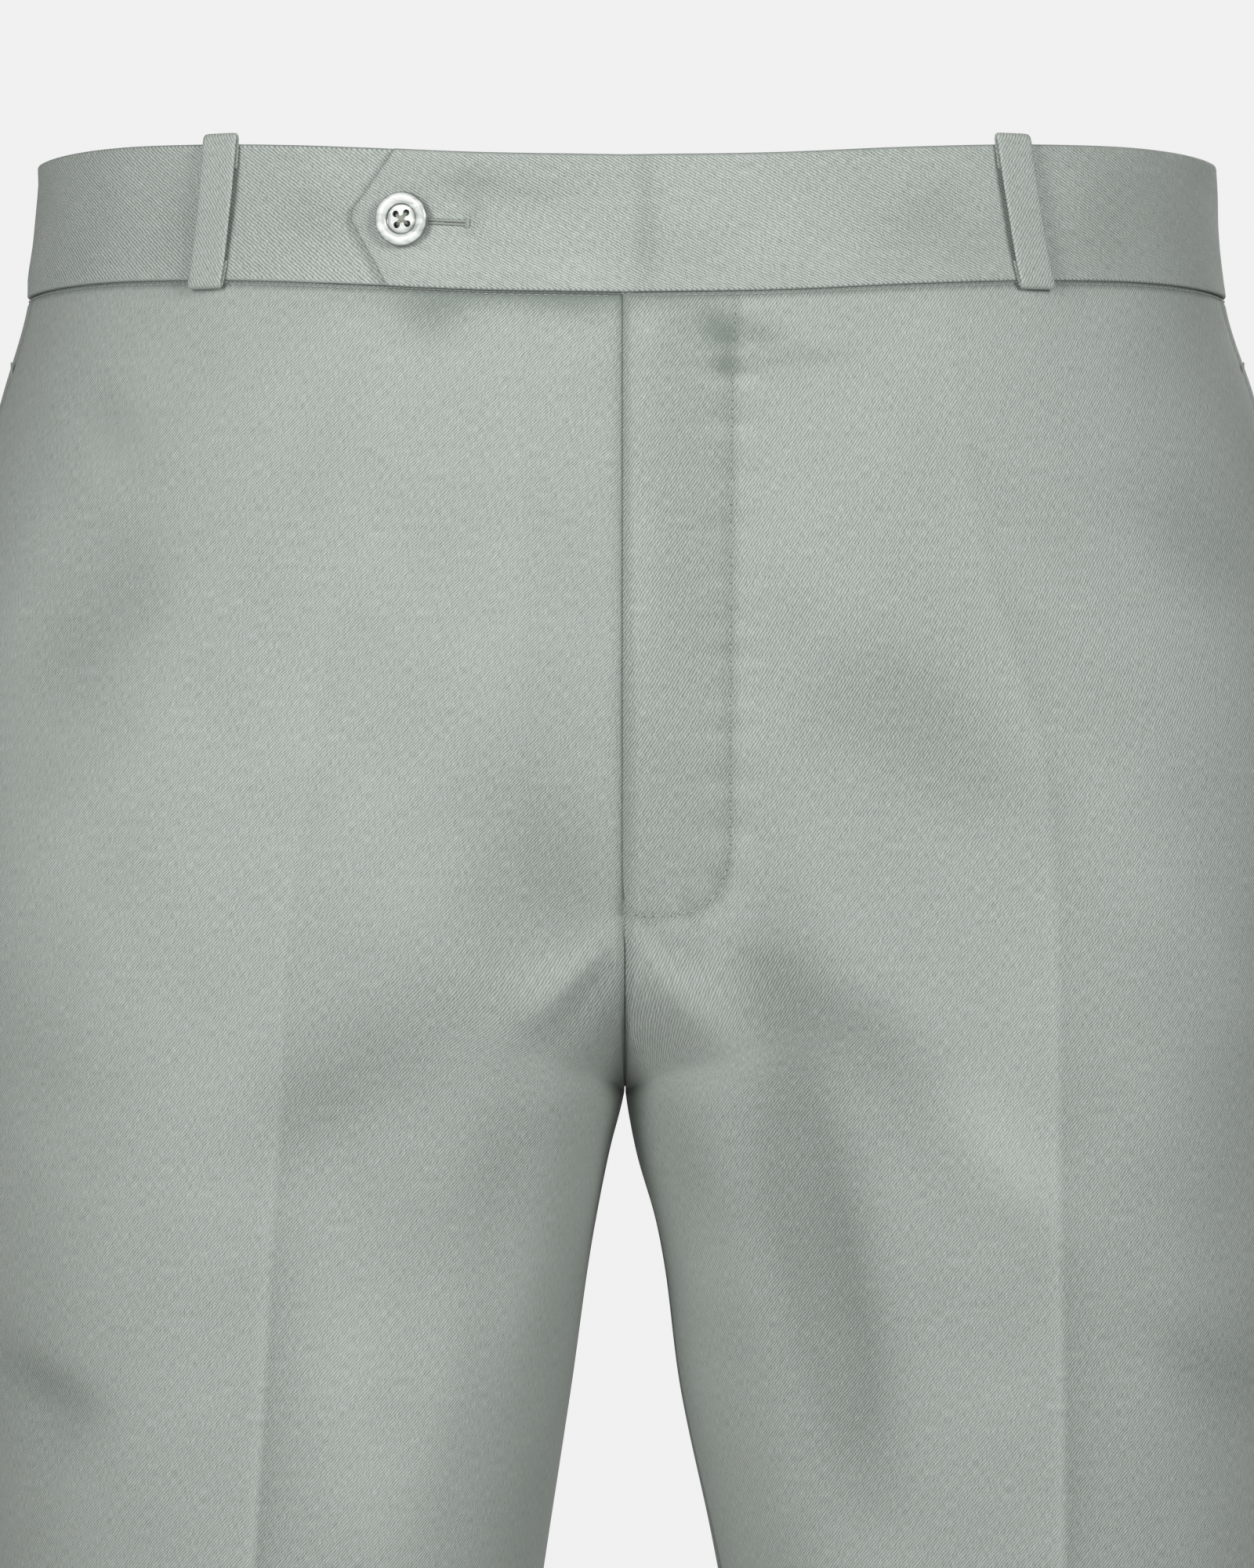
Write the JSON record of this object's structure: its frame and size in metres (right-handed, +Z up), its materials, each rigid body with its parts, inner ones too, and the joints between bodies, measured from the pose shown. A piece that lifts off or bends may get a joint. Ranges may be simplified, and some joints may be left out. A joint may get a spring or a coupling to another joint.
{
  "type": "dress trousers",
  "caption": "Flat-front dress trousers filled out with no wearer, with a pointed tab waistband, zip fly, belt loops and pressed creases.",
  "frame": {"origin": "middle of the waist opening, level with the waistband's top edge at the centre front", "axes": "+Z up along the body, -Y out of the front, +X towards the wearer's left"},
  "size_m": [0.4173, 0.2737, 1.0851],
  "materials": {
    "cloth": "sage grey worsted wool twill",
    "cloth_inside": "the same twill, seen inside",
    "button_pearl": "pearly white, polished",
    "zip_tape": "woven tape with moulded teeth",
    "zip_metal": "satin metal"
  },
  "bodies": {
    "root": {"front_right": "cloth", "front_left": "cloth", "back_right": "cloth", "back_left": "cloth", "waistband_right": "cloth", "waistband_left": "cloth", "loop_front_right": "cloth", "loop_front_left": "cloth", "loop_back_right": "cloth", "loop_back_left": "cloth", "loop_centre_back": "cloth", "fly_underlap": "cloth_inside", "pocket_facing_right": "cloth_inside", "pocket_facing_left": "cloth_inside", "button": "button_pearl", "zip": "zip_tape", "zip_slider": "zip_metal"}
  },
  "joints": []
}
